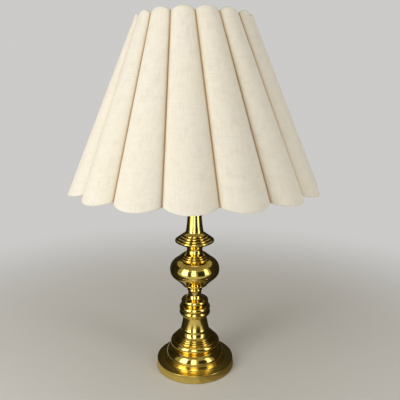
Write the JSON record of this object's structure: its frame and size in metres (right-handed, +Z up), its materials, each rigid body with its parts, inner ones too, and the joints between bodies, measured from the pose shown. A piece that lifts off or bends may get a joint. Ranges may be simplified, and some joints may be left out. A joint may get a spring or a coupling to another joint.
{
  "type": "candlestick table lamp",
  "caption": "Candlestick table lamp: turned brass stem on a weighted round foot, lamp socket with harp and bulb, and a fluted cream cloth shade.",
  "frame": {"origin": "bottom centre of the felt, on the table, on the stem's axis", "axes": "+Z up along the stem; -Y faces the front of the picture; +X to the right; the cord inlet is at +Y"},
  "size_m": [0.4062, 0.4062, 0.5936],
  "materials": {
    "polished_brass": "polished and lacquered",
    "foot_brass": "brushed band, polished rim",
    "harp_brass": "satin plated",
    "socket_brass": "polished",
    "zinc_steel": "zinc plated",
    "frame_wire": "white enamelled wire",
    "cast_iron": "rough, unpainted",
    "felt": "green felt",
    "linen": "cream linen, slub weave, stiffened",
    "bush_plastic": "moulded",
    "liner_board": "fibre board",
    "core_phenolic": "phenolic",
    "knob_plastic": "moulded, ribbed",
    "bulb_insulator": "black glass",
    "bulb_cap_metal": "bright",
    "bulb_glass": "frosted white",
    "bulb_stem_glass": "clear",
    "filament": "light strips"
  },
  "bodies": {
    "lamp": {"felt_pad": "felt", "weight_disc": "cast_iron", "foot_shell": "foot_brass", "foot_dome": "polished_brass", "base_torus": "polished_brass", "stepped_ring": "polished_brass", "lower_column": "polished_brass", "double_ring": "polished_brass", "seat_ring": "polished_brass", "lower_neck": "polished_brass", "ball_collar": "polished_brass", "ball_lower_shell": "polished_brass", "ball_upper_shell": "polished_brass", "shoulder_collar": "polished_brass", "upper_neck": "polished_brass", "drip_pan": "polished_brass", "upper_column": "polished_brass", "column_cap": "polished_brass", "threaded_rod": "zinc_steel", "base_nut": "zinc_steel", "base_washer": "zinc_steel", "cord_bush": "bush_plastic", "harp_saddle": "harp_brass", "saddle_nut": "zinc_steel", "socket_cap": "socket_brass", "socket_shell": "socket_brass", "socket_liner": "liner_board", "socket_core": "core_phenolic", "screw_shell": "socket_brass", "centre_contact": "socket_brass", "terminal_screws": "socket_brass"},
    "switch": {"switch_shaft": "zinc_steel", "switch_knob": "knob_plastic"},
    "harp": {"harp_loop": "harp_brass"},
    "sleeve_left": {"harp_sleeve_left": "harp_brass"},
    "sleeve_right": {"harp_sleeve_right": "harp_brass"},
    "swivel": {"harp_stud": "harp_brass"},
    "shade": {"shade_spider": "harp_brass", "shade_top_wire": "frame_wire", "shade_bottom_wire": "frame_wire", "shade_ribs": "frame_wire", "shade_panels": "linen"},
    "finial_thread": {"finial_insert": "harp_brass"},
    "finial": {"finial_knob": "polished_brass"},
    "bulb_screw": {"bulb_cap": "bulb_cap_metal"},
    "bulb": {"bulb_contact": "zinc_steel", "bulb_insulator": "bulb_insulator", "bulb_envelope": "bulb_glass", "bulb_stem": "bulb_stem_glass", "bulb_filaments": "filament"}
  },
  "joints": [
    {"name": "switch_turn", "type": "hinge", "parent": "lamp", "child": "switch", "pos_m": [0, -0.01925, 0.382], "axis": [0, -1, 0], "continuous": true},
    {"name": "harp_lift", "type": "slide", "parent": "lamp", "child": "harp", "axis": [0, 0, 1], "range_m": [0, 0.2]},
    {"name": "sleeve_left_lift", "type": "slide", "parent": "harp", "child": "sleeve_left", "axis": [0, 0, 1], "range_m": [0, 0.016]},
    {"name": "sleeve_right_lift", "type": "slide", "parent": "harp", "child": "sleeve_right", "axis": [0, 0, 1], "range_m": [0, 0.016]},
    {"name": "shade_swivel", "type": "hinge", "parent": "harp", "child": "swivel", "pos_m": [0, 0, 0.564], "axis": [0, 0, 1], "continuous": true},
    {"name": "shade_lift", "type": "slide", "parent": "swivel", "child": "shade", "axis": [0, 0, 1], "range_m": [0, 0.3]},
    {"name": "finial_rise", "type": "slide", "parent": "shade", "child": "finial_thread", "axis": [0, 0, 1], "range_m": [0, 0.01128]},
    {"name": "finial_turn", "type": "hinge", "parent": "finial_thread", "child": "finial", "pos_m": [0, 0, 0.5672], "axis": [0, 0, 1], "range_deg": [0, 4322]},
    {"name": "bulb_rise", "type": "slide", "parent": "lamp", "child": "bulb_screw", "axis": [0, 0, 1], "range_m": [0, 0.01815]},
    {"name": "bulb_turn", "type": "hinge", "parent": "bulb_screw", "child": "bulb", "pos_m": [0, 0, 0.3965], "axis": [0, 0, 1], "range_deg": [0, 1802]}
  ],
  "couplings": [
    {"joint": "finial_turn", "follows": "finial_rise", "rad_per_m": 6684.2},
    {"joint": "bulb_turn", "follows": "bulb_rise", "rad_per_m": 1730.9}
  ]
}
